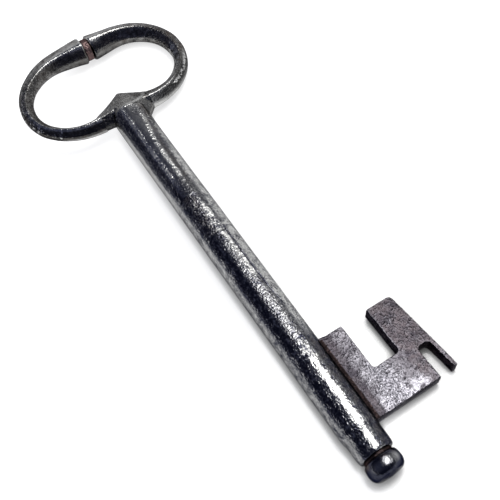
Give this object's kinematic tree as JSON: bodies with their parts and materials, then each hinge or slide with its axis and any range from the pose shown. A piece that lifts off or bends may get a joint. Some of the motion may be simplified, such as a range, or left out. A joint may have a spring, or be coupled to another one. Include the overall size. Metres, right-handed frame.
{
  "type": "key",
  "caption": "Large antique iron door key: solid round shank, lobed oval bow with a faceted shoulder, and a flat bit with a wide ward cut and a narrow one.",
  "frame": {"origin": "on the shank's axis, where the filed journal starts, level with the edge of the bit nearer the tip", "axes": "+X along the shank, out of the tip; +Y the way the bit points; +Z square to the plane of the bow and the bit"},
  "size_m": [0.1536, 0.0517, 0.0098],
  "materials": {
    "forged_iron": "blackened forged iron, worn bright along the edges, finely pitted",
    "bit_iron": "brownish grey filed iron plate, pitted and mottled",
    "old_braze": "old brazing metal, dulled to a reddish brown"
  },
  "bodies": {
    "root": {"shank": "forged_iron", "bow_shoulder": "forged_iron", "bow_left_arm": "forged_iron", "bow_right_arm": "forged_iron", "crown_peg": "forged_iron", "crown_collar": "old_braze", "bit": "bit_iron", "bit_braze_top": "old_braze", "bit_braze_bottom": "old_braze", "tip_braze": "old_braze", "tip_button": "forged_iron"}
  },
  "joints": []
}
